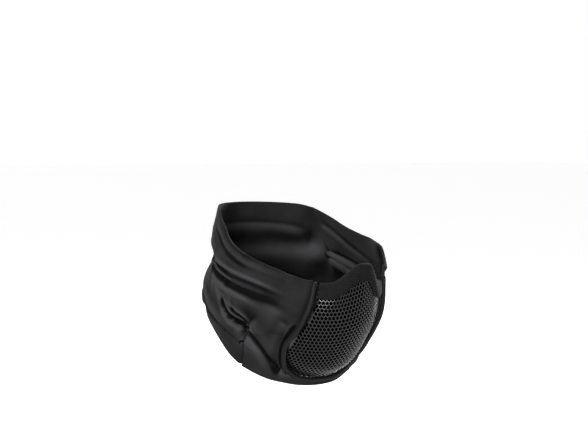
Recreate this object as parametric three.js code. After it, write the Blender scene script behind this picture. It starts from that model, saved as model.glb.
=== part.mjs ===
// Half face mask: a steel mesh snout set in the front of a stretch cloth gaiter.
// The cloth goes round the jaw and the nape. It is sewn from a cheek panel on each side,
// a throat panel under the mesh and a nape panel behind. A rolled welt frames the mesh at
// its sides and bottom, and a padded trim covers its top edge over the nose. Black lining
// cloth lies behind the mesh and shows through its holes.
//
// Millimetres. +Z is up, -Y is the way the wearer looks, +X is the wearer's left.
// The origin is on the head's axis, level with the mouth.

import * as THREE from 'three';

// ---------------------------------------------------------------- driving dimensions

const CLOTH = 2.0;            // thickness of the doubled stretch cloth
const HALF_GAP = 0.75;        // each panel stops this far short of a shared seam
const STEEL = 0.9;            // thickness of the mesh sheet
const LINING = 1.0;           // thickness of the lining cloth behind it
const WELT_RADIUS = 2.4;      // rolled welt round the mesh
const WELT_CLEARANCE = 0.25;  // between the welt and the edge of the window
const WELT_DEPTH = 0.6;       // its centre lies this far below the face of the cloth
const MESH_DEPTH = 3.5;       // the face of the mesh starts this far behind that centre
const MESH_INSET = 0.6;       // and this much further in
const TRIM_CLEARANCE = 0.55;  // between the trim's slot and the mesh
const TRIM_WALL = 2.2;        // thickness of each leaf of the trim
const TRIM_DROP = 15;         // height of the leaves
const TRIM_ROUND = 0.4;       // how much fuller than a bevel the crown of the trim is
const LAP_DEPTH = 3.0;        // the throat panel lies this far below the cheeks' face
const LAP_START = 0.36;       // the lap begins this share of the way out to each side
const LAP_FULL = 0.49;        // and is at its full depth from here
const LAP_FOOT = 0.2;         // up the throat panel, it begins at this share
const LAP_HEAD = 0.75;        // and is at its full depth from here
const DEGREE = 1.5;           // about the length of a degree's turn on the form

const RIGHT = -1;
const LEFT = 1;

// The form that the cloth is stretched over, level by level.
const FORM = [
  { z: -80, half: 68, front: 39, back: 78 },
  { z: -62, half: 70, front: 45, back: 82 },
  { z: -47, half: 72, front: 59, back: 86 },
  { z: -30, half: 74, front: 78, back: 90 },
  { z: -14, half: 76, front: 92, back: 93 },
  { z: 0, half: 77, front: 98, back: 94 },
  { z: 16, half: 77, front: 100, back: 92 },
  { z: 36, half: 75, front: 101, back: 88 },
  { z: 57, half: 71, front: 101, back: 87 },
  { z: 80, half: 66, front: 100, back: 81 },
  { z: 100, half: 62, front: 98, back: 76 },
];

// Seams and edges on one side. "turn" is the angle from straight ahead, in degrees.
// The cloth sits a little higher on the wearer's left, so edges have a height for each side.
const TOP_EDGE = [
  { turn: 27, right: 25, left: 25 },
  { turn: 36, right: 28.5, left: 36 },
  { turn: 46, right: 34.5, left: 50 },
  { turn: 58, right: 40.5, left: 57 },
  { turn: 75, right: 48.5, left: 61 },
  { turn: 92, right: 59, left: 67 },
  { turn: 106, right: 72, left: 75 },
  { turn: 124, right: 85, left: 85 },
];
const NAPE_TOP = [
  { turn: 124, right: 85, left: 85 },
  { turn: 140, right: 89, left: 89 },
  { turn: 180, right: 91, left: 91 },
];
const WINDOW_SIDE = [
  { turn: 46, right: -60.5, left: -60.5 },
  { turn: 47.6, right: -55, left: -55 },
  { turn: 47, right: -46, left: -46 },
  { turn: 44, right: -33, left: -33 },
  { turn: 37, right: -21, left: -21 },
  { turn: 32, right: -6, left: -6 },
  { turn: 29, right: 8, left: 8 },
  { turn: 27, right: 25, left: 25 },
];
const WINDOW_BASE = [
  { turn: 0, right: -73.4, left: -73.4 },
  { turn: 20, right: -72.6, left: -72.6 },
  { turn: 36, right: -68.8, left: -68.8 },
  { turn: 46, right: -60.5, left: -60.5 },
];
const CHEEK_FOOT = [
  { turn: 46, right: -60.5, left: -60.5 },
  { turn: 54, right: -48, left: -47 },
  { turn: 61, right: -32, left: -31 },
  { turn: 70, right: -20, left: -19 },
  { turn: 80, right: -17, left: -16 },
  { turn: 88, right: -12, left: -11 },
];
const THROAT_TOP = [
  { turn: 0, right: -73.7, left: -73.7 },
  { turn: 20, right: -73.2, left: -73.4 },
  { turn: 36, right: -69.9, left: -70.8 },
  { turn: 47, right: -63, left: -62.7 },
  { turn: 51, right: -54, left: -54 },
  { turn: 56, right: -42, left: -41 },
  { turn: 62, right: -28, left: -27 },
  { turn: 70, right: -16.5, left: -15.5 },
];
const EAR_SEAM = [
  { turn: 88, right: -12, left: -11 },
  { turn: 94, right: -1, left: 0 },
  { turn: 97, right: 10, left: 11 },
  { turn: 104, right: 24, left: 25 },
  { turn: 112, right: 41, left: 42 },
  { turn: 117, right: 60, left: 60 },
  { turn: 124, right: 85, left: 85 },
];
const SIDE_SEAM = [
  { turn: 81, right: -55, left: -49 },
  { turn: 77, right: -42, left: -38 },
  { turn: 76, right: -33, left: -31 },
  { turn: 70, right: -20, left: -19 },
];
const THROAT_HEM = [
  { turn: 0, right: -76, left: -76 },
  { turn: 28, right: -75, left: -73.8 },
  { turn: 46, right: -72, left: -67 },
  { turn: 62, right: -67, left: -58.5 },
  { turn: 81, right: -55, left: -49 },
];
const NAPE_HEM = [
  { turn: 81, right: -55, left: -49 },
  { turn: 94, right: -44, left: -40 },
  { turn: 110, right: -26, left: -24 },
  { turn: 126, right: -5, left: -5 },
  { turn: 142, right: 1, left: 1 },
  { turn: 180, right: 5, left: 5 },
];

// Folds of the worn cloth. Each is a soft ridge or valley between two places on the form.
const FOLDS = [
  { name: 'jaw ridge', turn: 110, z: 40, toTurn: 42, toZ: 9, height: 1.8, width: 5 },
  { name: 'jaw valley', turn: 104, z: 33, toTurn: 52, toZ: 12, height: -1.2, width: 5 },
  { name: 'ear ridge', turn: 110, z: 37, toTurn: 88, toZ: 24, height: 1.4, width: 3.5 },
  { name: 'ear valley', turn: 103, z: 28, toTurn: 58, toZ: 19, height: -1.6, width: 4 },
  { name: 'broad ridge', turn: 100, z: 21, toTurn: 48, toZ: -5, height: 1.7, width: 8 },
  { name: 'gather valley', turn: 87, z: -2, toTurn: 72, toZ: -13, height: -2.2, width: 3 },
  { name: 'gather ridge', turn: 93, z: 2, toTurn: 80, toZ: -13, height: 1.2, width: 3 },
  { name: 'top hem ridge', turn: 118, z: 76, toTurn: 92, toZ: 52, height: 0.8, width: 3.5 },
  { name: 'nape waist', turn: 112, z: 42, toTurn: 180, toZ: 40, height: -5, width: 10 },
  { name: 'nape roll', turn: 108, z: 14, toTurn: 180, toZ: 18, height: 1.5, width: 12 },
  { name: 'hem roll', turn: 126, z: -2, toTurn: 180, toZ: 6, height: 1.5, width: 6 },
  { name: 'throat ridge', turn: 68, z: -34, toTurn: 52, toZ: -62, height: 1.4, width: 4 },
];
const LEFT_FOLD_HEIGHT = 0.8;   // the folds are a little flatter on the left
const PUCKER = { turn: 40, z: 28, toTurn: 54, toZ: 60, height: 4, width: 9 };  // left only

// The middle of the snout above its bottom edge: "share" is the share of its height.
const SNOUT_MIDDLE = [
  { share: 0.16, reach: 60, z: -60 },
  { share: 0.32, reach: 74.5, z: -46 },
  { share: 0.50, reach: 87.5, z: -29 },
  { share: 0.68, reach: 97.5, z: -10 },
  { share: 0.86, reach: 102, z: 7 },
  { share: 1, reach: 102, z: 20.5 },
];
const RIM_TOP = 0.015;        // the top edge starts this share of the way down the rim
const RIM_CORNER = 0.30;      // and the rim's side turns into its base here
const SNOUT_POINT = 1.9;      // exponent of its section: 2 is a parabola
const BASE_FADE = 2.5;        // how soon the shape of the bottom edge dies away upwards
const BRIDGE_RISE = 17;       // the top edge climbs this far over the nose
const BRIDGE_FLAT = { right: 0, left: 8 };    // how far out its flat top ends on each side
const BRIDGE_FOOT = { right: 29, left: 24 };  // and how far out its foot is
const BRIDGE_ROW = 0.60;      // the rise fades in from this share of the way up
const TRIM_ROW = 0.86;        // and is full from the lower edge of the trim
const TRIM_REACH = 0.915;     // the trim stops just short of the welt at each end
const LINING_GAP = 0.45;      // between the mesh and its lining
const LINING_REACH = 0.985;   // the lining stops this share of the way out to each side
const LINING_FOOT = 0.012;    // its share of the way up at its foot
const LINING_HEAD = 0.85;     // and at its head, which is just below the trim

// Steps of each faceted piece, kept low because the walls are smooth.
const CHEEK_STEPS = { along: 22, up: 16 };
const NAPE_STEPS = { along: 28, up: 16 };
const THROAT_STEPS = { along: 30, up: 6 };
const SNOUT_STEPS = { along: 20, up: 14 };
const LINING_STEPS = { along: 20, up: 12 };
const WELT_STEPS = 44;
const WELT_SIDES = 10;
const TRIM_STEPS = 24;

// The nape panel's steps along the cheek's foot and along the ear seam, on each side.
const NAPE_FOOT_STEPS = 2;
const NAPE_EAR_STEPS = 8;
const FOOT_DART = 3;          // the row of CHEEK_FOOT where the nape panel's corner meets it

// Half a step for the slopes: in degrees and millimetres on the form, a share on the snout.
const FORM_STEP = 0.5;
const SNOUT_STEP = 0.01;

// ---------------------------------------------------------------- materials

function finish(color, roughness, metalness) {
  return new THREE.MeshStandardMaterial({ color, roughness, metalness });
}

const stretchCloth = finish(0x35353a, 0.85, 0);
const weltCloth = finish(0x28282b, 0.9, 0);
const paintedSteel = finish(0x1c1d20, 0.4, 0.6);
const paddedTrim = finish(0x232326, 0.95, 0);
const liningCloth = finish(0x141416, 0.95, 0);

// ---------------------------------------------------------------- the form

function smoothstep(from, to, value) {
  return THREE.MathUtils.smoothstep(value, from, to);
}

// Smooth cubic through a table's rows: rows are sorted by "by", and "column" is read.
function readTable(rows, by, column, at) {
  const last = rows.length - 1;
  let row = 0;
  while (row < last - 1 && at > rows[row + 1][by]) {
    row += 1;
  }
  const slope = (index) => {
    const before = rows[Math.max(index - 1, 0)];
    const after = rows[Math.min(index + 1, last)];
    return (after[column] - before[column]) / (after[by] - before[by]);
  };
  const [low, high] = [rows[row], rows[row + 1]];
  const span = high[by] - low[by];
  const t = THREE.MathUtils.clamp((at - low[by]) / span, 0, 1);
  const [t2, t3] = [t * t, t * t * t];
  return (2 * t3 - 3 * t2 + 1) * low[column] + (t3 - 2 * t2 + t) * span * slope(row)
    + (3 * t2 - 2 * t3) * high[column] + (t3 - t2) * span * slope(row + 1);
}

// Distance in millimetres from a place on the form to a fold's line.
function fromFold(fold, turn, z) {
  const line = new THREE.Vector2((fold.toTurn - fold.turn) * DEGREE, fold.toZ - fold.z);
  const place = new THREE.Vector2((turn - fold.turn) * DEGREE, z - fold.z);
  const share = place.dot(line) / line.lengthSq();
  const nearest = line.multiplyScalar(THREE.MathUtils.clamp(share, 0, 1));
  return place.distanceTo(nearest);
}

function liftOf(fold, turn, z) {
  const distance = fromFold(fold, turn, z);
  return fold.height * Math.exp(-((distance / fold.width) ** 2));
}

function foldLift(turn, z, side) {
  const lift = FOLDS.reduce((sum, fold) => sum + liftOf(fold, turn, z), 0);
  return side === LEFT ? lift * LEFT_FOLD_HEIGHT + liftOf(PUCKER, turn, z) : lift;
}

// A place on the form. A turn below 0 is on the wearer's right, above 0 on the left,
// and it may run on past 180 round the nape.
function onForm(turn, z, lift = 0) {
  const angle = THREE.MathUtils.degToRad(turn);
  const [ahead, across] = [Math.cos(angle), Math.sin(angle)];
  const half = readTable(FORM, 'z', 'half', z);
  const reach = readTable(FORM, 'z', ahead > 0 ? 'front' : 'back', z);
  const radius = 1 / Math.hypot(across / half, ahead / reach) + lift;
  return new THREE.Vector3(radius * across, -radius * ahead, z);
}

function onCloth(turn, z, lift = 0) {
  const wrapped = THREE.MathUtils.euclideanModulo(turn + 180, 360) - 180;
  const side = wrapped < 0 ? RIGHT : LEFT;
  return onForm(turn, z, lift + foldLift(Math.abs(wrapped), z, side));
}

function formNormal(turn, z) {
  const along = onForm(turn + FORM_STEP, z).sub(onForm(turn - FORM_STEP, z));
  const up = onForm(turn, z + FORM_STEP).sub(onForm(turn, z - FORM_STEP));
  return along.cross(up).normalize();
}

// ---------------------------------------------------------------- sewn panels

// A seam or edge as a curve of turn and height on one side of the mask.
function seam(rows, side) {
  const height = side === RIGHT ? 'right' : 'left';
  return rows.map((row) => new THREE.Vector3(side * row.turn, row[height], 0));
}

function smooth(points) {
  return new THREE.CatmullRomCurve3(points, false, 'centripetal');
}

// An edge sewn from several curves end to end. Each takes its share of the edge, so that
// the corners between them fall on the panel's own steps.
function chain(curves, shares) {
  const getPointAt = (t) => {
    let start = 0;
    let index = 0;
    while (index < curves.length - 1 && t > start + shares[index]) {
      start += shares[index];
      index += 1;
    }
    const share = THREE.MathUtils.clamp((t - start) / shares[index], 0, 1);
    return curves[index].getPointAt(share);
  };
  const getLength = () => curves.reduce((sum, curve) => sum + curve.getLength(), 0);
  return { getPointAt, getLength };
}

// Both sides of a seam that crosses the middle at the front.
function acrossFront(rows) {
  return smooth([...seam(rows, RIGHT).reverse(), ...seam(rows, LEFT).slice(1)]);
}

// A seam on the left, reached from the right by way of the nape.
function pastNape(rows) {
  return seam(rows, LEFT).map((point) => new THREE.Vector3(point.x - 360, point.y, 0));
}

// A panel fills the space between its four edges, as a patch of cloth does.
function acrossPanel(edges, u, v) {
  const { lower, upper, start, end } = edges;
  const blend = new THREE.Vector3();
  blend.addScaledVector(lower.getPointAt(u), 1 - v);
  blend.addScaledVector(upper.getPointAt(u), v);
  blend.addScaledVector(start.getPointAt(v), 1 - u);
  blend.addScaledVector(end.getPointAt(v), u);
  blend.addScaledVector(lower.getPointAt(0), -(1 - u) * (1 - v));
  blend.addScaledVector(lower.getPointAt(1), -u * (1 - v));
  blend.addScaledVector(upper.getPointAt(0), -(1 - u) * v);
  blend.addScaledVector(upper.getPointAt(1), -u * v);
  return blend;
}

// ---------------------------------------------------------------- closed walls

function signedVolume(points, triangles) {
  let total = 0;
  for (const [a, b, c] of triangles) {
    total += points[a].dot(new THREE.Vector3().crossVectors(points[b], points[c]));
  }
  return total / 6;
}

function closedGeometry(points, triangles) {
  const outward = signedVolume(points, triangles) > 0;
  const index = triangles.flatMap(([a, b, c]) => (outward ? [a, b, c] : [a, c, b]));
  const geometry = new THREE.BufferGeometry().setFromPoints(points);
  geometry.setIndex(index);
  geometry.computeVertexNormals();
  return geometry;
}

function gridNormal(grid, column, row) {
  const [columns, rows] = [grid.length - 1, grid[0].length - 1];
  const along = grid[Math.min(column + 1, columns)][row].clone();
  along.sub(grid[Math.max(column - 1, 0)][row]);
  const up = grid[column][Math.min(row + 1, rows)].clone();
  up.sub(grid[column][Math.max(row - 1, 0)]);
  return along.cross(up).normalize();
}

// A wall with its outer face on a grid of points and its inner face a thickness behind.
// "facing" is 1 where along x up points out of the wall's outer face, and -1 where it points in.
function wall(grid, thickness, facing) {
  const [columns, rows] = [grid.length, grid[0].length];
  const outer = grid.flat();
  const inner = [];
  for (let column = 0; column < columns; column += 1) {
    for (let row = 0; row < rows; row += 1) {
      const normal = gridNormal(grid, column, row);
      inner.push(grid[column][row].clone().addScaledVector(normal, -facing * thickness));
    }
  }
  const back = outer.length;
  const at = (column, row) => column * rows + row;
  const triangles = [];
  const quad = (a, b, c, d) => triangles.push([a, b, c], [a, c, d]);
  for (let column = 0; column < columns - 1; column += 1) {
    for (let row = 0; row < rows - 1; row += 1) {
      const [a, b] = [at(column, row), at(column + 1, row)];
      const [c, d] = [at(column + 1, row + 1), at(column, row + 1)];
      quad(a, b, c, d);
      quad(back + a, back + d, back + c, back + b);
    }
  }
  const rim = [];
  for (let column = 0; column < columns - 1; column += 1) {
    rim.push(at(column, 0));
  }
  for (let row = 0; row < rows - 1; row += 1) {
    rim.push(at(columns - 1, row));
  }
  for (let column = columns - 1; column > 0; column -= 1) {
    rim.push(at(column, rows - 1));
  }
  for (let row = rows - 1; row > 0; row -= 1) {
    rim.push(at(0, row));
  }
  rim.forEach((from, step) => {
    const to = rim[(step + 1) % rim.length];
    quad(from, back + from, back + to, to);
  });
  return closedGeometry([...outer, ...inner], triangles);
}

function gridOf(steps, place) {
  const grid = [];
  for (let column = 0; column <= steps.along; column += 1) {
    const line = [];
    for (let row = 0; row <= steps.up; row += 1) {
      line.push(place(column / steps.along, row / steps.up));
    }
    grid.push(line);
  }
  return grid;
}

// A panel of cloth, held half a gap short of the edges that it shares.
function clothPanel(edges, steps, facing, liftAt = () => 0) {
  const across = (edges.lower.getLength() + edges.upper.getLength()) * DEGREE;
  const trimU = HALF_GAP / across * 2;
  const trimV = HALF_GAP / (edges.start.getLength() + edges.end.getLength()) * 2;
  const grid = gridOf(steps, (u, v) => {
    const place = acrossPanel(
      edges,
      THREE.MathUtils.lerp(trimU, 1 - trimU, u),
      THREE.MathUtils.lerp(trimV, 1 - trimV, v),
    );
    return onCloth(place.x, place.y, liftAt(u, v));
  });
  return wall(grid, CLOTH, facing);
}

// ---------------------------------------------------------------- cloth pieces

function cheekPanel(side) {
  const edges = {
    lower: smooth(seam(CHEEK_FOOT, side)),
    upper: smooth(seam(TOP_EDGE, side)),
    start: smooth(seam(WINDOW_SIDE, side)),
    end: smooth(seam(EAR_SEAM, side)),
  };
  return clothPanel(edges, CHEEK_STEPS, side);
}

// The nape panel runs from one side seam to the other. Its upper edge follows the foot of
// the cheek panel, the ear seam and then the top of the mask.
function napePanel() {
  const foot = CHEEK_FOOT.slice(FOOT_DART);
  const back = (rows) => pastNape(rows).reverse();
  const footShare = NAPE_FOOT_STEPS / NAPE_STEPS.along;
  const earShare = NAPE_EAR_STEPS / NAPE_STEPS.along;
  const topShare = 1 - 2 * (footShare + earShare);
  const edges = {
    lower: smooth([...seam(NAPE_HEM, RIGHT), ...back(NAPE_HEM).slice(1)]),
    upper: chain([
      smooth(seam(foot, RIGHT)),
      smooth(seam(EAR_SEAM, RIGHT)),
      smooth([...seam(NAPE_TOP, RIGHT), ...back(NAPE_TOP).slice(1)]),
      smooth(back(EAR_SEAM)),
      smooth(back(foot)),
    ], [footShare, earShare, topShare, earShare, footShare]),
    start: smooth(seam(SIDE_SEAM, RIGHT)),
    end: smooth(pastNape(SIDE_SEAM)),
  };
  return clothPanel(edges, NAPE_STEPS, -1);
}

// The throat panel dips under the foot of each cheek panel and comes back to the face below.
function throatPanel() {
  const side = [...SIDE_SEAM, THROAT_TOP.at(-1)];
  const edges = {
    lower: acrossFront(THROAT_HEM),
    upper: acrossFront(THROAT_TOP),
    start: smooth(seam(side, RIGHT)),
    end: smooth(seam(side, LEFT)),
  };
  const dip = (u, v) => {
    const lapped = smoothstep(LAP_START, LAP_FULL, Math.abs(2 * u - 1));
    return -LAP_DEPTH * lapped * smoothstep(LAP_FOOT, LAP_HEAD, v);
  };
  return clothPanel(edges, THROAT_STEPS, 1, dip);
}

// ---------------------------------------------------------------- welt

// Places along the window's edge, from the right top corner round the base to the left.
// Each gives the face of the cloth, its normal, and the way towards the mesh.
function windowPlaces() {
  const side = WINDOW_SIDE.slice().reverse();
  const rows = [...side, ...WINDOW_BASE.slice(0, -1).reverse()];
  const right = seam(rows, RIGHT);
  const left = seam(rows, LEFT).slice(0, -1).reverse();
  const edge = smooth([...right, ...left]);
  const places = edge.getSpacedPoints(WELT_STEPS).map(({ x, y }) => (
    { face: onForm(x, y), normal: formNormal(x, y) }
  ));
  return places.map(({ face, normal }, step) => {
    const before = places[Math.max(step - 1, 0)].face;
    const after = places[Math.min(step + 1, WELT_STEPS)].face;
    const inward = normal.clone().cross(after.clone().sub(before)).normalize();
    return { face, normal, inward };
  });
}

// A line beside the window's edge, a distance towards the mesh and a depth below the face.
function besideWindow(inwards, depth) {
  return smooth(windowPlaces().map(({ face, normal, inward }) => (
    face.clone().addScaledVector(inward, inwards).addScaledVector(normal, -depth)
  )));
}

const WELT_OFFSET = WELT_RADIUS + WELT_CLEARANCE;

function welt() {
  const section = new THREE.Shape();
  section.absarc(0, 0, WELT_RADIUS, 0, 2 * Math.PI, false);
  return new THREE.ExtrudeGeometry(section, {
    steps: WELT_STEPS,
    curveSegments: WELT_SIDES / 2,
    extrudePath: besideWindow(WELT_OFFSET, WELT_DEPTH),
  });
}

// ---------------------------------------------------------------- snout

// The trim is pushed a little towards the wearer's left, so each side has its own slope.
function bridge(across) {
  const side = across < 0 ? 'right' : 'left';
  return 1 - smoothstep(BRIDGE_FLAT[side], BRIDGE_FOOT[side], Math.abs(across));
}

const rim = besideWindow(WELT_OFFSET + MESH_INSET, WELT_DEPTH + MESH_DEPTH);

// A place on the mesh sheet: u from -1 on the right to 1 on the left, v from 0 up to 1.
// Its rim lies behind the welt, and its middle follows the snout's own line.
function onSnout(u, v) {
  const share = (u + 1) / 2;
  const chord = (height, along) => {
    const end = THREE.MathUtils.lerp(RIM_CORNER, RIM_TOP, height);
    return rim.getPointAt(end).lerp(rim.getPointAt(1 - end), along);
  };
  const belowChord = (along) => {
    const base = rim.getPointAt(THREE.MathUtils.lerp(RIM_CORNER, 1 - RIM_CORNER, along));
    return base.sub(chord(0, along)).multiplyScalar((1 - v) ** BASE_FADE);
  };
  const foot = rim.getPointAt(0.5);
  const rows = [{ share: 0, reach: -foot.y, z: foot.z }, ...SNOUT_MIDDLE];
  const reach = readTable(rows, 'share', 'reach', v);
  const level = readTable(rows, 'share', 'z', v);
  const middle = new THREE.Vector3(0, -reach, level);
  const bulge = middle.sub(chord(v, 0.5)).sub(belowChord(0.5));
  const place = chord(v, share).add(belowChord(share));
  place.addScaledVector(bulge, 1 - Math.abs(u) ** SNOUT_POINT);
  place.z += BRIDGE_RISE * bridge(place.x) * smoothstep(BRIDGE_ROW, TRIM_ROW, v);
  return place;
}

function snoutNormal(u, v) {
  const [low, high] = [Math.max(v - SNOUT_STEP, 0), Math.min(v + SNOUT_STEP, 1)];
  const along = onSnout(u + SNOUT_STEP, v).sub(onSnout(u - SNOUT_STEP, v));
  const up = onSnout(u, high).sub(onSnout(u, low));
  return along.cross(up).normalize();
}

function meshFaceplate() {
  const grid = gridOf(SNOUT_STEPS, (u, v) => onSnout(2 * u - 1, v));
  return wall(grid, STEEL, 1);
}

// The lining follows the back of the mesh, and its head meets the inner leaf of the trim.
function meshLining() {
  const behind = -STEEL - LINING_GAP;
  const grid = gridOf(LINING_STEPS, (across, up) => {
    const u = LINING_REACH * (2 * across - 1);
    const v = THREE.MathUtils.lerp(LINING_FOOT, LINING_HEAD, up);
    return onSnout(u, v).addScaledVector(snoutNormal(u, v), behind);
  });
  return wall(grid, LINING, 1);
}

// ---------------------------------------------------------------- nose trim

// A channel over the top edge of the mesh: two leaves and a rounded crown.
function noseTrim() {
  const inside = TRIM_CLEARANCE;
  const outside = TRIM_CLEARANCE + TRIM_WALL;
  const back = -STEEL - TRIM_CLEARANCE;
  const farBack = back - TRIM_WALL;
  const middle = -STEEL / 2;
  // "out" is across the sheet, "up" is above the sheet's top edge.
  const section = [
    { out: inside, up: -TRIM_DROP },
    { out: outside, up: -TRIM_DROP },
    { out: outside, up: 0 },
    { out: (outside + middle) / 2 + TRIM_ROUND, up: TRIM_WALL - TRIM_ROUND },
    { out: middle, up: TRIM_WALL },
    { out: (farBack + middle) / 2 - TRIM_ROUND, up: TRIM_WALL - TRIM_ROUND },
    { out: farBack, up: 0 },
    { out: farBack, up: -TRIM_DROP },
    { out: back, up: -TRIM_DROP },
    { out: back, up: TRIM_CLEARANCE },
    { out: inside, up: TRIM_CLEARANCE },
  ];
  const points = [];
  for (let step = 0; step <= TRIM_STEPS; step += 1) {
    const u = THREE.MathUtils.lerp(-TRIM_REACH, TRIM_REACH, step / TRIM_STEPS);
    for (const { out, up } of section) {
      const v = 1 + Math.min(up, 0) / TRIM_DROP * (1 - TRIM_ROW);
      const place = onSnout(u, v).addScaledVector(snoutNormal(u, v), out);
      place.z += Math.max(up, 0);
      points.push(place);
    }
  }
  const count = section.length;
  const triangles = [];
  for (let step = 0; step < TRIM_STEPS; step += 1) {
    for (let corner = 0; corner < count; corner += 1) {
      const next = (corner + 1) % count;
      const [a, b] = [step * count + corner, step * count + next];
      const [c, d] = [a + count, b + count];
      triangles.push([a, c, d], [a, d, b]);
    }
  }
  const outline = section.map(({ out, up }) => new THREE.Vector2(out, up));
  for (const [a, b, c] of THREE.ShapeUtils.triangulateShape(outline, [])) {
    const end = TRIM_STEPS * count;
    triangles.push([a, b, c], [end + a, end + c, end + b]);
  }
  return closedGeometry(points, triangles);
}

// ---------------------------------------------------------------- assembly

function piece(name, geometry, material) {
  const mesh = new THREE.Mesh(geometry, material.clone());
  mesh.name = name;
  return mesh;
}

const cloth = new THREE.Group();
cloth.add(
  piece('cheek_panel_right', cheekPanel(RIGHT), stretchCloth),
  piece('cheek_panel_left', cheekPanel(LEFT), stretchCloth),
  piece('nape_panel', napePanel(), stretchCloth),
  piece('throat_panel', throatPanel(), stretchCloth),
);

const front = new THREE.Group();
front.add(
  piece('mesh_faceplate', meshFaceplate(), paintedSteel),
  piece('mesh_lining', meshLining(), liningCloth),
  piece('mesh_welt', welt(), weltCloth),
  piece('nose_trim', noseTrim(), paddedTrim),
);

const mask = new THREE.Group();
mask.add(cloth, front);

export default mask;
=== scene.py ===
# %% [markdown]
# # A steel half face mask
#
# The object is a stretch cloth gaiter with a snout of perforated steel in its front. It is
# built here as it is sewn: two cheek panels, a nape panel, a throat panel, the steel and the
# lining behind it, the rolled welt that frames them, the felt trim over the nose, and the
# stitches along the hems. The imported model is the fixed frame, and every finished piece lies
# where the frame's solid lies, but for the stitches, which have none.

import math

import bpy
import numpy as np
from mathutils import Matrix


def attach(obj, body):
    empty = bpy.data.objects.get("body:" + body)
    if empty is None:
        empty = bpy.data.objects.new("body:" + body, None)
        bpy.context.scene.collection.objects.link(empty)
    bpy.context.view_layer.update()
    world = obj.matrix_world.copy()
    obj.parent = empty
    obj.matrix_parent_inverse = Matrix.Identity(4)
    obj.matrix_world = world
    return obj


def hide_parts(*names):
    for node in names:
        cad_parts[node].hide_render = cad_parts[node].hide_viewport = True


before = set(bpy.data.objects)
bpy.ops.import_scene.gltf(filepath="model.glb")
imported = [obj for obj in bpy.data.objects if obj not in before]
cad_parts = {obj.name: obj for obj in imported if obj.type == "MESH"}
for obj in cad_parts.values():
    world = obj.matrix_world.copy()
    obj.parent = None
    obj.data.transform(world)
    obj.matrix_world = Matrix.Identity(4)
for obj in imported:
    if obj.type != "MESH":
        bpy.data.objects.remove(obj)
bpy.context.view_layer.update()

MM = 0.001      # the tables below are in millimetres and degrees
RIGHT, LEFT = -1, 1

# %% [markdown]
# ## Tables and smooth lines
#
# Cloth has no flat faces to start from, so its lines are charted on the head instead: a
# turn in degrees from straight ahead, and a height. A table holds a few such places, and a
# smooth line goes through them. Working in turn and height keeps each table short, and the
# same seam line can then serve both of the panels that meet at it.

# %% Read tables and draw smooth lines
def table(columns, *rows):
    """Rows of numbers that are read by the name of their column."""
    return dict(zip(columns.split(), np.array(rows, float).T))


def through(knots, values, at):
    """A smooth cubic through values at rising knots."""
    at = np.clip(at, knots[0], knots[-1])
    low = np.clip(np.searchsorted(knots, at) - 1, 0, len(knots) - 2)
    slopes = np.empty(len(knots))
    slopes[1:-1] = (values[2:] - values[:-2]) / (knots[2:] - knots[:-2])
    slopes[[0, -1]] = np.diff(values)[[0, -1]] / np.diff(knots)[[0, -1]]
    span = knots[low + 1] - knots[low]
    t = (at - knots[low]) / span
    return (
        (2 * t**3 - 3 * t**2 + 1) * values[low]
        + (t**3 - 2 * t**2 + t) * span * slopes[low]
        + (3 * t**2 - 2 * t**3) * values[low + 1]
        + (t**3 - t**2) * span * slopes[low + 1]
    )


def evenly(line, path, samples):
    """Samples of a line that are evenly spaced by length along a path, and that length."""
    length = np.insert(np.cumsum(np.linalg.norm(np.diff(path, axis=0), axis=1)), 0, 0)
    even = np.linspace(0, length[-1], samples)
    return np.stack([np.interp(even, length, column) for column in line.T], axis=1), length[-1]


def smooth(points, samples=600):
    """Evenly spaced samples of the smooth line through points."""
    points = np.asarray(points, float)
    steps = np.linalg.norm(np.diff(points, axis=0), axis=1)
    knots = np.insert(np.cumsum(np.sqrt(steps)), 0, 0)
    fine = np.linspace(0, knots[-1], 4 * samples)
    line = np.stack([through(knots, column, fine) for column in points.T], axis=1)
    return evenly(line, line, samples)[0]


def along(line, share):
    """The places at shares from 0 to 1 of a line's length."""
    share = np.clip(share, 0, 1) * (len(line) - 1)
    return np.stack([np.interp(share, np.arange(len(line)), column) for column in line.T], -1)


def smoothstep(start, end, value):
    t = np.clip((value - start) / (end - start), 0, 1)
    return t * t * (3 - 2 * t)


def lerp(start, end, share):
    return start + (end - start) * share


def unit(vectors):
    return vectors / np.linalg.norm(vectors, axis=-1, keepdims=True)


# %% [markdown]
# ## The form under the cloth
#
# A stretch gaiter takes the shape of the head and neck inside it. That form is a stack of
# ovals, one for each level, with its own half width and its own reach to the front and to
# the back. It has the same numbers as the frame's solids, so the fine panels lie in them.

# %% Chart the form
FORM = table(
    "z half front back",
    (-80, 68, 39, 78),
    (-62, 70, 45, 82),
    (-47, 72, 59, 86),
    (-30, 74, 78, 90),
    (-14, 76, 92, 93),
    (0, 77, 98, 94),
    (16, 77, 100, 92),
    (36, 75, 101, 88),
    (57, 71, 101, 87),
    (80, 66, 100, 81),
    (100, 62, 98, 76),
)
DEGREE = 1.5    # millimetres of cloth to a degree's turn, near enough


def on_form(turn, z, lift=0):
    """Places on the form. A turn is below 0 on the wearer's right, and above 0 on the left."""
    ahead, across = np.cos(np.radians(turn)), np.sin(np.radians(turn))
    half = through(FORM["z"], FORM["half"], z)
    front = through(FORM["z"], FORM["front"], z)
    back = through(FORM["z"], FORM["back"], z)
    reach = np.where(ahead > 0, front, back)
    radius = 1 / np.hypot(across / half, ahead / reach) + lift
    return np.stack([radius * across, -radius * ahead, z + 0 * radius], axis=-1)


def form_normal(turn, z, step=0.5):
    around = on_form(turn + step, z) - on_form(turn - step, z)
    up = on_form(turn, z + step) - on_form(turn, z - step)
    return unit(np.cross(around, up))


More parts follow.
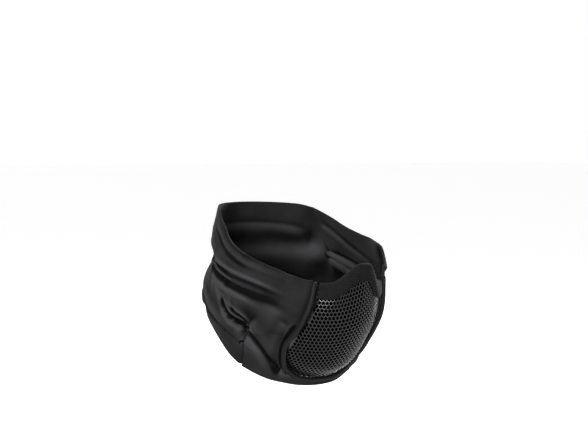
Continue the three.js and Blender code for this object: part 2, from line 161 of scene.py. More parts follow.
print("round the form at the mouth, in mm:",
      round(np.linalg.norm(np.diff(on_form(np.arange(0, 361.0), np.zeros(361)), axis=0), axis=1).sum()))

# %% [markdown]
# ## Seams and edges
#
# These are the lines that the cloth is cut to. A worn gaiter never sits quite level: here
# it is a few millimetres higher on the wearer's left, so each line has a height for each
# side. The window is the opening that the steel sits in.

# %% Chart the seams
TOP_EDGE = table(
    "turn right left",
    (27, 25, 25), (36, 28.5, 36), (46, 34.5, 50), (58, 40.5, 57),
    (75, 48.5, 61), (92, 59, 67), (106, 72, 75), (124, 85, 85),
)
NAPE_TOP = table("turn right left", (124, 85, 85), (140, 89, 89), (180, 91, 91))
WINDOW_SIDE = table(
    "turn right left",
    (46, -60.5, -60.5), (47.6, -55, -55), (47, -46, -46), (44, -33, -33),
    (37, -21, -21), (32, -6, -6), (29, 8, 8), (27, 25, 25),
)
WINDOW_BASE = table(
    "turn right left",
    (0, -73.4, -73.4), (20, -72.6, -72.6), (36, -68.8, -68.8), (46, -60.5, -60.5),
)
CHEEK_FOOT = table(
    "turn right left",
    (46, -60.5, -60.5), (54, -48, -47), (61, -32, -31),
    (70, -20, -19), (80, -17, -16), (88, -12, -11),
)
DART = table(
    "turn right left", (69, -16.5, -15.5), (75, -16.3, -15.3), (80, -16.2, -15.2), (88, -12, -11),
)
THROAT_TOP = table(
    "turn right left",
    (0, -71.5, -71.5), (20, -70.7, -70.7), (36, -66.9, -66.9), (45.5, -60, -60),
    (50, -53, -52.5), (55, -38, -37), (61, -24, -23), (66, -17.5, -16.5), (69, -16.5, -15.5),
)
EAR_SEAM = table(
    "turn right left",
    (88, -12, -11), (94, -1, 0), (97, 10, 11), (104, 24, 25),
    (112, 41, 42), (117, 60, 60), (124, 85, 85),
)
SIDE_SEAM = table(
    "turn right left",
    (81, -55, -49), (77, -42, -38), (76, -33, -31), (70, -20, -19), (69, -16.5, -15.5),
)
THROAT_HEM = table(
    "turn right left",
    (0, -76, -76), (28, -75, -73.8), (46, -72, -67), (62, -67, -58.5), (81, -55, -49),
)
NAPE_HEM = table(
    "turn right left",
    (81, -55, -49), (94, -44, -40), (110, -26, -24), (126, -5, -5), (142, 1, 1), (180, 5, 5),
)


def seam(rows, side):
    """A table's line on one side, as turns and heights."""
    return np.stack([side * rows["turn"], rows["right" if side == RIGHT else "left"]], axis=1)


def across_front(rows):
    return smooth(np.concatenate([seam(rows, RIGHT)[::-1], seam(rows, LEFT)[1:]]))


def past_nape(rows):
    """A line on the left that is reached from the right by way of the nape."""
    return seam(rows, LEFT) - [360, 0]


# %% [markdown]
# ## Folds
#
# The folds are what makes cloth read as cloth. Each one here is a stroke on the chart, as a
# sculptor would draw it: a route, a height, and a width to either side of the crest, so that
# a crease can be sharp below and soft above. Strokes with a negative height press a valley.
# A cloth simulation was the other way. It gives folds of its own choosing, while a worn,
# sewn piece has its folds at its darts and seams, so the strokes are drawn one by one.

# %% Draw the folds
# height, width above the crest, width below it, then the route as turn and height pairs
FOLDS = {
    "jaw swell": (1.4, 8.0, 3.0, (112, 43), (98, 38.5), (84, 33), (66, 26.5), (52, 20), (39, 12)),
    "jaw ridge": (1.8, 2.2, 1.8, (112, 42), (98, 37), (84, 31), (66, 24.5), (52, 18), (39, 10)),
    "pocket under it": (-3.2, 2.0, 3.2, (116, 42), (109, 38), (101, 33.5), (92, 29.5), (78, 24)),
    "ear ridge": (2.0, 1.6, 2.2, (118, 41), (110, 36), (103, 31.5), (93, 27), (82, 22)),
    "ear pocket": (-3.4, 1.8, 3.0, (114, 36), (106, 30), (99, 26), (91, 22.5), (78, 17)),
    "long valley": (-1.8, 3.0, 5.0, (94, 21.5), (80, 17), (62, 10.5), (44, 3)),
    "broad ridge": (2.4, 4.0, 9.0, (112, 28), (102, 21), (92, 16), (80, 10.5), (66, 3), (50, -6)),
    "its sharp start": (1.5, 1.5, 2.0, (112, 30), (105, 24), (98, 19.5), (88, 14.5), (76, 9),
                        (66, 4)),
    "cheek hollow": (-0.7, 10.0, 10.0, (86, 2), (74, -3), (60, -10)),
    "tip swell": (1.5, 12.0, 10.0, (48, 4), (52, -10), (55, -24), (53, -40), (50, -56)),
    "foot ridge": (1.4, 7.0, 5.0, (67, -12), (61, -24), (54, -42), (49, -54)),
    "welt lip": (0.9, 5.0, 5.0, (42, -12), (49, -27), (52.5, -40), (52, -50)),
    "top hem": (0.9, 3.2, 2.6, (121, 76), (106, 64.5), (92, 52.5), (75, 42), (58, 34.5), (36, 25)),
    "top hem valley": (-0.8, 1.6, 2.6, (121, 70), (106, 59), (92, 47.5), (76, 38), (60, 31)),
    "neck roll": (1.6, 5.0, 5.0, (124, 12), (108, -4), (96, -15), (84, -26)),
    "hem valley": (-1.3, 1.6, 2.0, (205, 20), (180, 20), (140, 15), (128, -1), (117, -9), (96, -21.5),
                   (78, -34), (68, -42), (58, -51)),
    "hem roll": (1.7, 4.0, 4.0, (205, 10), (180, 10), (140, 6), (126, -8), (112, -19), (96, -33),
                 (80, -45)),
    "dart lip": (2.0, 1.4, 1.8, (95, -7), (89, -13), (82, -18), (76, -21)),
    "throat ridge": (0.8, 5.0, 6.0, (74, -30), (68, -36), (60, -47), (52, -60)),
    "nape waist": (-5.0, 10.0, 10.0, (112, 42), (146, 41), (180, 40), (250, 40)),
    "nape roll": (1.6, 10.0, 12.0, (112, 15), (146, 16), (180, 18), (250, 18)),
    "nape crease": (-1.4, 3.0, 6.0, (128, 60), (150, 66), (180, 68), (250, 68)),
}
SLITS = {
    "long slit": (-8.5, 3.6, 3.2, (97.4, 13), (95.4, 3), (93.2, -4), (90, -10), (84, -14.5), (76, -17.5),
                  (71, -20)),
    "short slit": (-8.5, 2.5, 2.3, (88.5, -1), (86, -4), (82, -8.5), (77, -11.5), (71, -16), (67.5, -21)),
    "its wide mouth": (-6.0, 2.2, 3.2, (88.5, -1), (85.5, -5.5), (82, -10.5), (78, -13.5)),
    "seam pit": (-7.0, 2.6, 2.6, (79, -12.5), (74, -16.5), (70, -20), (68.5, -22.5)),
    "welt crescent": (-5.5, 2.6, 2.6, (33.3, -12), (40.3, -27), (44.9, -40), (46.5, -50), (45.1, -60),
                      (42.3, -66)),
    "seam hook": (-2.2, 0.8, 0.8, (79.0, -36.5), (79.4, -34.4), (78, -33), (76, -33.2), (74.5, -35)),
}
SLIT_STROKE = {"rise": 0.18, "fade": 0.16, "steepness": 3, "narrowing": 0.7}
LEFT_SHARE = 0.65   # the folds are a little flatter on the wearer's left
LEFT_PUCKER = (3.6, 9.0, 9.0, (40, 28), (47, 44), (54, 60))


def from_route(route, turn, z):
    """Signed distances in millimetres from a route, above it or below, and the share along it."""
    knots = smooth(np.array(route) * [DEGREE, 1], 24)
    place = np.stack([turn * DEGREE, z], axis=-1)
    nearest = np.full(turn.shape, np.inf)
    signed = np.zeros(turn.shape)
    share = np.zeros(turn.shape)
    for step in range(len(knots) - 1):
        start, line = knots[step], knots[step + 1] - knots[step]
        t = np.clip((place - start) @ line / (line @ line), 0, 1)
        offset = place - start - t[..., None] * line
        distance = np.linalg.norm(offset, axis=-1)
        closer = distance < nearest
        nearest = np.where(closer, distance, nearest)
        rise = offset[..., 1] * line[0] - offset[..., 0] * line[1]
        above = np.where(rise * np.sign(line[0]) > 0, 1, -1)
        signed = np.where(closer, distance * above, signed)
        share = np.where(closer, (step + t) / (len(knots) - 1), share)
    return signed, share


def stroke(fold, turn, z, rise=0.12, fade=0.45, steepness=2, narrowing=0):
    """The lift of one fold. Its crest rises, and dies away, over a share of its length.

    More steepness gives it steeper walls and a flatter middle. Narrowing, from 0 to 1, makes it
    come to a point at its ends.
    """
    height, wide_above, wide_below, *route = fold
    distance, share = from_route(route, turn, z)
    width = np.where(distance > 0, wide_above, wide_below)
    crest = smoothstep(0, rise, share) * smoothstep(1, 1 - fade, share)
    width = width * (1 - narrowing * (1 - crest))
    return height * crest * np.exp(-(abs(distance / width) ** steepness))


def ripple(turn, z, rng_seed=5, waves=7, height=0.16):
    """A faint unevenness, because stretched cloth is never quite fair."""
    rng = np.random.default_rng(rng_seed)
    lift = np.zeros(np.shape(z))
    for _ in range(waves):
        around, up, phase = rng.uniform(0.02, 0.09), rng.uniform(0.04, 0.16), rng.uniform(0, 6.28)
        lift = lift + np.sin(around * turn * DEGREE + up * z + phase)
    return height * lift / math.sqrt(waves)


def fold_lift(turn, z):
    """All the folds at once, on whichever side the turn is.

    Folds add up. Where slits meet they only go as deep as the deepest of them.
    """
    wrapped = (turn + 180) % 360 - 180
    turn = abs(wrapped)
    at_back = smoothstep(135, 180, turn)    # the two sides agree where they meet
    side = lerp(np.where(wrapped < 0, 1.0, LEFT_SHARE), (1 + LEFT_SHARE) / 2, at_back)
    lift = sum(stroke(fold, turn, z) for fold in FOLDS.values())
    lift = lift + np.min([stroke(slit, turn, z, **SLIT_STROKE) for slit in SLITS.values()], axis=0)
    pucker = np.where(wrapped > 0, stroke(LEFT_PUCKER, turn, z), 0)
    return side * lift + pucker + ripple(turn, z)


def on_cloth(turn, z):
    return on_form(turn, z, fold_lift(turn, z))


# %% [markdown]
# ## A panel of cloth
#
# A panel is bounded by four lines, and the space between them is filled as a soap film
# would fill it. The sheet starts as a plain grid. Its points move to their places on the
# form, it gets the thickness of the doubled cloth behind its face, and a bevel rounds its
# cut edges.

# %% Make panels
CLOTH = 2.0         # thickness of the doubled cloth
ROLL_DEPTH = 1.3    # a sewn edge turns in by this much
ROLL_WIDTH = 1.5    # over this distance
EDGE_ROUND = 0.7    # radius along a cut edge
SIDE_SEAM_DEPTH, SIDE_SEAM_WIDTH = 3.0, 1.1     # the side seam is drawn in like a furrow
UNDERLAP, UNDERLAP_DEPTH, UNDERLAP_WIDTH = 1.2, 4.6, 1.8     # there the nape runs on under the throat
SIDE_FADE = 3       # how soon the bow of a panel's side line dies away across the panel
FINE_SEAM = 0.22    # over the ear the seam is nearly flat
SEAM_GAP = 0.02     # sewn panels stop this far short of the seam between them
TUCK = 2.2          # at the window the cloth runs on under the welt by this much
TUCK_DEPTH = 2.7    # and goes this deep, which is into the welt
TUCK_WIDTH = 1.6
HELD_BAND = 3.2     # the welt holds it flat at its tucked edge, and this far in it folds freely


def select_only(piece):
    bpy.ops.object.select_all(action="DESELECT")
    piece.select_set(True)
    bpy.context.view_layer.objects.active = piece


def add(name, operator, **settings):
    """Runs an operator that adds one object, and names what it adds."""
    bpy.ops.object.select_all(action="DESELECT")
    operator(**settings)
    piece = bpy.context.object
    piece.name = piece.data.name = name
    return piece


def shade_smooth(piece):
    """Shades a finished piece smooth, and says how many faces it has."""
    select_only(piece)
    bpy.ops.object.shade_smooth()
    print(piece.name, len(piece.data.polygons), "faces")


def edit(piece, *steps):
    """Runs edit mode operators on the whole piece."""
    select_only(piece)
    bpy.ops.object.mode_set(mode="EDIT")
    bpy.ops.mesh.select_all(action="SELECT")
    for step in steps:
        step()
    bpy.ops.object.mode_set(mode="OBJECT")


def apply(piece, kind, **settings):
    """Adds a modifier and applies it."""
    select_only(piece)
    modifier = piece.modifiers.new(kind.lower(), kind)
    for name, value in settings.items():
        setattr(modifier, name, value)
    bpy.ops.object.modifier_apply(modifier=modifier.name)


def repeat(piece, count, across, up):
    """Repeats a piece, each copy this many millimetres on from the last."""
    apply(piece, "ARRAY", count=count, use_relative_offset=False, use_constant_offset=True,
          constant_offset_displace=(across * MM, up * MM, 0))


def round_edges(piece, radius):
    """Rounds a piece's sharp edges, to a radius in millimetres."""
    edit(
        piece,
        lambda: bpy.ops.mesh.select_all(action="DESELECT"),
        lambda: bpy.ops.mesh.select_mode(type="EDGE"),
        lambda: bpy.ops.mesh.edges_select_sharp(sharpness=math.radians(72)),
        lambda: bpy.ops.mesh.bevel(offset=radius * MM, segments=2, affect="EDGES", clamp_overlap=True),
        lambda: bpy.ops.mesh.select_mode(type="FACE"),
    )


def coordinates(mesh):
    flat = np.empty(3 * len(mesh.vertices))
    mesh.vertices.foreach_get("co", flat)
    return flat.reshape(-1, 3)


def grid_sheet(name, columns, rows, place, chart):
    """A grid whose points go where place(u, v) says, with a map in millimetres from chart(u, v)."""
    piece = add(name, bpy.ops.mesh.primitive_grid_add, x_subdivisions=columns, y_subdivisions=rows, size=1)
    mesh = piece.data
    u, v = coordinates(mesh)[:, 0] + 0.5, coordinates(mesh)[:, 1] + 0.5
    mesh.vertices.foreach_set("co", (place(u, v) * MM).ravel())
    corner = np.empty(len(mesh.loops), dtype=int)
    mesh.loops.foreach_get("vertex_index", corner)
    mesh.uv_layers.active.data.foreach_set("uv", chart(u, v)[corner].ravel())
    mesh.update()
    return piece


def across_panel(lower, upper, start, end, u, v):
    """The film between four lines. u runs along the lower and upper ones, v from one to the other."""
    share = np.asarray(v)[:, None]
    between = lerp(along(lower, u), along(upper, u), share)
    start_bow = along(start, v) - lerp(lower[0], upper[0], share)
    end_bow = along(end, v) - lerp(lower[-1], upper[-1], share)
    near_start, near_end = (1 - u)[:, None] ** SIDE_FADE, u[:, None] ** SIDE_FADE
    return between + start_bow * near_start + end_bow * near_end


def roll(distance, depth=ROLL_DEPTH, width=ROLL_WIDTH):
    """How far a sewn edge turns in, at a distance from it in millimetres."""
    return -depth * np.exp(-((distance / width) ** 2))


def thicken(piece, thickness, edge_round):
    """Gives a sheet its thickness, behind its face, and rounds its cut edges."""
    apply(piece, "SOLIDIFY", thickness=thickness * MM, offset=-1)
    crest = np.empty(len(piece.data.vertices))
    piece.data.attributes["crest"].data.foreach_get("value", crest)
    # The inner face gets the outer face's painted light and shade flipped.
    crest[len(crest) // 2:] = 1 - crest[len(crest) // 2:]       # a crest outside is a pocket inside
    piece.data.attributes["crest"].data.foreach_set("value", crest)
    round_edges(piece, edge_round)
    shade_smooth(piece)


def one_face(piece):
    """The area of one face of a thin wall, in square metres."""
    return sum(face.area for face in piece.data.polygons) / 2


pattern_v, pattern_u = np.mgrid[0:1:40j, 0:1:40j]   # shares across a sheet, for working out its cut
CUTS = {}       # of each sheet, its width, length and area as cut, in metres


def record_cut(name, places):
    """Works out a sheet's cut from a grid of places, in mm, on the bare form it is cut to fit.

    Its area is the form's area there, with no folds. Its length and width are those of the
    longest row and column of the grid.
    """
    along_rows, along_columns = np.diff(places, axis=1), np.diff(places, axis=0)
    area = np.linalg.norm(np.cross(along_rows[:-1], along_columns[:, :-1]), axis=2).sum()
    length, width = (np.linalg.norm(steps, axis=2).sum(axis=axis).max()
                     for steps, axis in ((along_rows, 1), (along_columns, 0)))
    CUTS[name] = width * MM, length * MM, area * MM**2
    print(name, "is cut", round(width), "by", round(length), "mm,", round(area / 100, 1), "cm2")


# Cloth is painted paler where it stands proud of what lies within a reach, as a painted
# highlight, and painted darker where it lies deep, as painted shade. The full height is how
# proud it stands where the painted highlight is full.
PAINTED_LIGHT_AND_SHADE = table("reach full share", (3, 0.8, 0.6), (9, 2.0, 0.4))


def mark_painted_shade(piece, lift, covered):
    """Keeps in the sheet, as "crest", 1 on its crests, 0 in its pockets, and a half between.

    What is covered by a cheek's foot, from 0 to 1, is painted darker still, as the foot's shadow. Elsewhere
    the crest paints the cloth paler on its crests, as a painted highlight, and darker in its pockets, as
    painted shade.
    """
    mesh = piece.data
    ends = np.empty(2 * len(mesh.edges), dtype=int)
    mesh.edges.foreach_get("vertices", ends)
    first, second = ends.reshape(-1, 2).T
    neighbours = np.bincount(ends)
    spacing = math.sqrt(sum(face.area for face in mesh.polygons) / len(mesh.polygons)) / MM
    level, steps = lift, 0
    crest = np.full(len(lift), 0.5)
    # Each reach adds a painted highlight where the cloth stands proud and painted shade where it lies deep.
    for reach, full, share in zip(*PAINTED_LIGHT_AND_SHADE.values()):
        while steps < 4 * (reach / spacing) ** 2:
            total = np.bincount(first, level[second]) + np.bincount(second, level[first])
            level = (level + total / neighbours) / 2
            steps += 1
        crest += share * np.clip((lift - level) / (2 * full), -0.5, 0.5)
    # Painted shadow where a cheek's foot covers the cloth.
    crest = np.clip(crest - 0.5 * covered**1.5, 0, 1)
    mesh.attributes.new("crest", "FLOAT", "POINT").data.foreach_set("value", crest)


LAP_DEPTH = 7.0     # under the cheek's foot the next panels lie this deep
LAP_SLOPE = 7.5     # and come up to the face again over this distance
END_DRAW = 0.6      # how strongly a long panel's columns are drawn to its ends, from 0 to 1


def under_the_foot(turn, z):
    """How far the throat and nape panels dip beside the foot of a cheek panel."""
    side = np.where(turn % 360 > 180, RIGHT, LEFT)
    dip = np.zeros(np.shape(z))
    for this_side in (RIGHT, LEFT):
        foot = (seam(CHEEK_FOOT, this_side) * [this_side, 1])[::-1]
        distance, share = from_route(foot, abs((turn + 180) % 360 - 180), z)
        slope = np.exp(-((np.maximum(-distance, 0) / LAP_SLOPE) ** 2))
        lapped = smoothstep(1, 0.88, share) * smoothstep(0.14, 0.27, share)
        dip = np.where(side == this_side, -LAP_DEPTH * slope * lapped, dip)
    return dip


def closer_at_ends(u):
    """Draws the columns of a long panel together near its two ends."""
    return u - END_DRAW * np.sin(2 * np.pi * u) / (2 * np.pi)


def cloth_panel(name, edges, columns, rows, shape, spread=lambda u: u, under_foot=False,
                loose=lambda u, v: 1):
    """A finished panel. shape(u, v) gives the lift that belongs to this panel alone.

    loose(u, v) is 0 where a seam holds the cloth too tight to fold, and 1 where it is free.
    """
    def chart(u, v):
        reach = SEAM_GAP / (DEGREE * np.ptp(edges[0][:, 0])), SEAM_GAP / np.ptp(edges[2][:, 1])
        inside = [gap + (1 - 2 * gap) * share for gap, share in zip(reach, (spread(u), v))]
        return across_panel(*edges, *inside)

    proud_and_covered = []

    def place(u, v):
        flat = chart(u, v)
        dip = under_the_foot(*flat.T) if under_foot else 0
        lift = dip + loose(u, v) * fold_lift(*flat.T)
        # The lift and the depth under a cheek's foot go on to the cloth's painted light and shade.
        proud_and_covered.extend([lift, -dip / LAP_DEPTH])
        return on_form(*flat.T, lift + shape(spread(u), v))

    pattern = on_form(*chart(pattern_u.ravel(), pattern_v.ravel()).T)
    record_cut(name, pattern.reshape(*pattern_u.shape, 3))
    piece = grid_sheet(name, columns, rows, place, lambda u, v: chart(u, v) * [DEGREE, 1])
    mark_painted_shade(piece, *proud_and_covered)
    middle = piece.data.polygons[len(piece.data.polygons) // 2]
    if middle.normal.dot(middle.center) < 0:
        edit(piece, bpy.ops.mesh.flip_normals)
    thicken(piece, CLOTH, EDGE_ROUND)
    return piece


# %% [markdown]
# ## The cheek panels
#
# Each cheek panel runs from the window back to the ear, and from the top hem down to its
# free foot, which laps over the throat panel. Its side at the window turns in under the
# welt, and its foot stands a little proud, as a folded edge does.

# %% Make the cheek panels
FOOT_PROUD = 1.3     # the lapped foot stands this far off
FOOT_BAND = 6.0      # within this distance
FOOT_TURN_IN = 2.0   # and its very edge turns in by this much
FOOT_TURN_WIDTH = 0.9
CHEEK_HEIGHT, CHEEK_WIDTH = 80, 90      # about, for distances from the panel's edges


def cheek_panel(name, side):
    lines = (CHEEK_FOOT, TOP_EDGE, WINDOW_SIDE, EAR_SEAM)
    foot, top, window, ear = [smooth(seam(rows, side)) for rows in lines]
    tucked = window - [side * TUCK / DEGREE, 0]
    foot = np.concatenate([tucked[:1], foot[8:]])
    top = np.concatenate([tucked[-1:], top[8:]])

    def from_window(u, v):
        return np.hypot(*((across_panel(*edges, u, v) - along(tucked, v)) * [DEGREE, 1]).T)

    def shape(u, v):
        height, width = CHEEK_HEIGHT * v, CHEEK_WIDTH * u
        lapped = smoothstep(0.72, 0.62, u)
        stands_off = FOOT_PROUD * np.exp(-((height / FOOT_BAND) ** 2))
        proud = lapped * (stands_off + roll(height, FOOT_TURN_IN, FOOT_TURN_WIDTH))
        ear_seam = lerp(ROLL_DEPTH, FINE_SEAM, smoothstep(0.10, 0.26, v))
        return (
            proud + roll(from_window(u, v), TUCK_DEPTH, TUCK_WIDTH) + roll(CHEEK_WIDTH - width, ear_seam)
            + (1 - lapped) * roll(height)
        )

    edges = [foot, top, tucked, ear]
    held_by_welt = lambda u, v: smoothstep(0, HELD_BAND, from_window(u, v))
    return cloth_panel(name, edges, 165, 145, shape, loose=held_by_welt)


cheeks = {side: cheek_panel(name, side) for name, side in
          (("cheek_cloth_right", RIGHT), ("cheek_cloth_left", LEFT))}

# %% [markdown]
# ## The nape panel
#
# One long panel goes round the back, from the side seam under one ear to the other. It is
# gathered into the dart below each ear, which is where its deepest folds start.

# %% Make the nape panel
NAPE_LENGTH, NAPE_HEIGHT = 330, 70      # about, for distances from the panel's edges


def chain(lines, shares):
    """Lines joined end to end, each given its share of the whole."""
    samples = [along(line, np.linspace(0, 1, round(2400 * share), endpoint=False))
               for line, share in zip(lines, shares)]
    return np.concatenate([*samples, lines[-1][-1:]])


def nape_panel(name):
    back = lambda rows: past_nape(rows)[::-1]
    dart, ear = 0.075, 0.235
    upper = chain(
        [
            smooth(seam(DART, RIGHT)), smooth(seam(EAR_SEAM, RIGHT)),
            smooth(np.concatenate([seam(NAPE_TOP, RIGHT), back(NAPE_TOP)[1:]])),
            smooth(back(EAR_SEAM)), smooth(back(DART)),
        ],
        [dart, ear, 1 - 2 * (dart + ear), ear, dart],
    )
    lower = smooth(np.concatenate([seam(NAPE_HEM, RIGHT), back(NAPE_HEM)[1:]]))
    underlap = [UNDERLAP / DEGREE, 0]
    start, end = smooth(seam(SIDE_SEAM, RIGHT)) + underlap, smooth(past_nape(SIDE_SEAM)) - underlap

    def shape(u, v):
        inside = np.minimum(u, 1 - u)
        sewn_top = smoothstep(dart + ear + 0.01, dart + ear - 0.01, inside)
        depth = lerp(ROLL_DEPTH, FINE_SEAM, smoothstep(dart + 0.02, dart + 0.06, inside))
        side = roll(NAPE_LENGTH * inside, UNDERLAP_DEPTH, UNDERLAP_WIDTH)
        return side + sewn_top * roll(NAPE_HEIGHT * (1 - v), depth)

    return cloth_panel(name, [lower, upper, start, end], 300, 100, shape, closer_at_ends, True)


nape = nape_panel("nape_cloth")

# %% [markdown]
# ## The throat panel
#
# The throat panel hangs under the welt and dips beneath the foot of each cheek.

# %% Make the throat panel
THROAT_HALF, THROAT_HEIGHT = 100, 12    # half its length, and its height below the welt, about


def throat_panel(name):
    edges = [across_front(THROAT_HEM), across_front(THROAT_TOP),
             smooth(seam(SIDE_SEAM, RIGHT)), smooth(seam(SIDE_SEAM, LEFT))]

    def shape(u, v):
        out = abs(2 * u - 1)
        tucked = smoothstep(0.62, 0.46, out)
        side = roll(THROAT_HALF * (1 - out), SIDE_SEAM_DEPTH, SIDE_SEAM_WIDTH)
        return side + tucked * roll(THROAT_HEIGHT * (1 - v), TUCK_DEPTH, TUCK_WIDTH)

    return cloth_panel(name, edges, 240, 70, shape, closer_at_ends, True)


throat = throat_panel("throat_cloth")

# %% [markdown]
# ## The steel
#
# The snout is one sheet of steel, punched all over with small six sided holes and pressed
# to its shape. So a honeycomb is made flat first: one cell, repeated in rows, each row half
# a cell over from the last. Every cell is inset on its own, and the middle of each one that
# is well inside the rim is deleted. The flat sheet is then laid on the snout so that lengths
# along each row and each column stay true, which keeps the holes one size, and it gets the
# thickness of steel.

# %% The line that the steel's rim and the welt follow
WELT_RADIUS = 2.4
WELT_OFFSET = WELT_RADIUS + 0.25    # from the cloth's edge to the middle of the welt
WELT_DEPTH = 0.6                    # the welt's middle lies this far below the face
MESH_DEPTH = 3.5                    # and the steel's face this far below that


def window_line():
    side = [seam(WINDOW_SIDE, s)[::-1] for s in (RIGHT, LEFT)]
    base = [seam(WINDOW_BASE, s)[:-1][::-1] for s in (RIGHT, LEFT)]
    right = np.concatenate([side[0], base[0]])
    left = np.concatenate([side[1], base[1]])[:-1][::-1]
    return smooth(np.concatenate([right, left]), 900)


def beside_window(inwards, depth):
    """A line beside the window's edge, from its right top corner round the base to the left."""
    turn, z = along(window_line(), np.linspace(0, 1, 45)).T
    face, normal = on_form(turn, z), form_normal(turn, z)
    ahead = np.concatenate([face[1:], face[-1:]]) - np.concatenate([face[:1], face[:-1]])
    inward = unit(np.cross(normal, ahead))
    return smooth(face + inwards * inward - depth * normal, 900)


rim = beside_window(WELT_OFFSET + 0.6, WELT_DEPTH + MESH_DEPTH)

# %% Chart the snout
SNOUT_MIDDLE = table(
    "share reach z",
    (0, -rim[450][1], rim[450][2]),
    (0.16, 60, -60), (0.32, 74.5, -46), (0.50, 87.5, -29),
    (0.68, 97.5, -10), (0.86, 102, 7), (1, 102, 20.5),
)
RIM_TOP, RIM_CORNER = 0.015, 0.30   # shares of the rim where its side starts and ends
SNOUT_POINT = 1.9                   # 2 is a parabola across, and less is more pointed
BASE_FADE = 2.5                     # how soon the shape of the bottom edge dies away upwards
BRIDGE_RISE = 17                    # the top edge climbs this far over the nose
BRIDGE_FLAT = {RIGHT: 0, LEFT: 8}   # how far out its flat top ends on each side
BRIDGE_FOOT = {RIGHT: 29, LEFT: 24}
BRIDGE_ROW, TRIM_ROW = 0.60, 0.86


def on_snout(u, v):
    """Places on the steel: u from -1 on the right to 1 on the left, v from 0 at the foot to 1."""
    u, v = np.broadcast_arrays(np.asarray(u, float), np.asarray(v, float))
    column = lambda values: np.asarray(values)[..., None]

    def chord(height, share):
        end = lerp(RIM_CORNER, RIM_TOP, height)
        return lerp(along(rim, end), along(rim, 1 - end), column(share))

    def below_chord(share):
        base = along(rim, lerp(RIM_CORNER, 1 - RIM_CORNER, share))
        return (base - chord(0 * v, share)) * column((1 - v) ** BASE_FADE)

    share = (u + 1) / 2
    reach = through(SNOUT_MIDDLE["share"], SNOUT_MIDDLE["reach"], v)
    level = through(SNOUT_MIDDLE["share"], SNOUT_MIDDLE["z"], v)
    middle = np.stack([0 * v, -reach, level], axis=-1)
    half = np.full(v.shape, 0.5)
    bulge = middle - chord(v, half) - below_chord(half)
    place = chord(v, share) + below_chord(share) + bulge * column(1 - abs(u) ** SNOUT_POINT)
    right, left = (
        1 - smoothstep(BRIDGE_FLAT[side], BRIDGE_FOOT[side], side * place[..., 0])
        for side in (RIGHT, LEFT)
    )
    bridge = np.where(place[..., 0] < 0, right, left)
    place[..., 2] += BRIDGE_RISE * bridge * smoothstep(BRIDGE_ROW, TRIM_ROW, v)
    return place


def snout_normal(u, v, step=0.01):
    across = on_snout(u + step, v) - on_snout(u - step, v)
    up = on_snout(u, np.minimum(v + step, 1)) - on_snout(u, np.maximum(v - step, 0))
    return unit(np.cross(across, up))


ROWS, COLUMNS = 90, 160
row_v = np.linspace(0, 1, ROWS + 1)
column_u = np.linspace(-1, 1, COLUMNS + 1)
snout_grid = on_snout(column_u[None, :], row_v[:, None])


def lengths_along(axis):
    """Lengths along the snout's rows or columns, from the middle of each."""
    steps = np.linalg.norm(np.diff(snout_grid, axis=axis), axis=2)
    total = np.insert(np.cumsum(steps, axis=axis), 0, 0, axis=axis)
    return total - np.take(total, [total.shape[axis] // 2], axis=axis)


row_reach = lengths_along(1)
column_reach = lengths_along(0).T
SHEET_WIDTH, SHEET_HEIGHT = np.ptp(row_reach, axis=1).max(), np.ptp(column_reach, axis=1).max()
print("the flat steel is", round(SHEET_HEIGHT), "high and", round(SHEET_WIDTH), "wide in mm")


def find(reach, at, line, marks):
    """Where lengths fall along lines of the grid, and how far inside the line's ends that is."""
    line = np.clip(line, 0, len(reach) - 1.001)
    place, inside = np.empty(len(at)), np.empty(len(at))
    for point, (length, low, share) in enumerate(zip(at, line.astype(int), line % 1)):
        here = lerp(reach[low], reach[low + 1], share)
        place[point] = np.interp(length, here, marks)
        inside[point] = min(length - here[0], here[-1] - length)
    return place, inside


def lay_sheet(flat, rounds=4):
    """The u and v of places on the flat sheet, and how far inside its edges they lie.

    A place keeps its length along its own row and its own column of the snout, so the holes
    hardly change size. The two are found in turn, a few times over.
    """
    u, v = np.zeros(len(flat)), np.full(len(flat), 0.5)
    for _ in range(rounds):
        v, from_ends = find(column_reach, flat[:, 1], (u + 1) / 2 * COLUMNS, row_v)
        u, from_sides = find(row_reach, flat[:, 0], v * ROWS, column_u)
    return u, v, np.minimum(from_ends, from_sides)


# %% Make the steel
PITCH = 3.65            # between holes in a row
ROW_PITCH = PITCH * math.sqrt(3) / 2
BAR = 0.58              # the width of steel between two holes
STEEL = 0.8             # the sheet's thickness
PLAIN_RIM = 4.6         # no hole's middle is closer than this to the rim
HOLE_STRETCH = 1.15     # the holes are this much taller than even six sided ones
LATTICE_TURN = 20       # the rows of holes climb towards the wearer's left by this many degrees
RIM_SINK = 2.6          # the rim is pressed in by this much, so it lies in the welt's shadow
RIM_BAND = 6.5          # over this distance
RELIEF = 0.28           # of the knots between three holes, every other one stands this proud


def from_sides(u, v):
    """About how far a place on the snout is from the steel's sides."""
    return (1 - abs(u)) * np.interp(v, row_v, row_reach[:, -1])


def knot(flat):
    """1 at every other knot of the honeycomb, -1 at the rest, and 0 in the middle of a hole."""
    waves = [2 / math.sqrt(3) * np.array([math.cos(a), math.sin(a)]) for a in np.radians([-30, 90, 210])]
    return 2 / (3 * math.sqrt(3)) * sum(np.sin(2 * np.pi / PITCH * (flat @ wave)) for wave in waves)


def pressed_snout(u, v, behind=0.0):
    """The snout with its rim pressed in, or a sheet that lies behind it."""
    sink = behind + RIM_SINK * smoothstep(RIM_BAND, 0, from_sides(u, v)) * smoothstep(0.2, 0.45, v)
    return on_snout(u, v) - sink[..., None] * snout_normal(u, v)


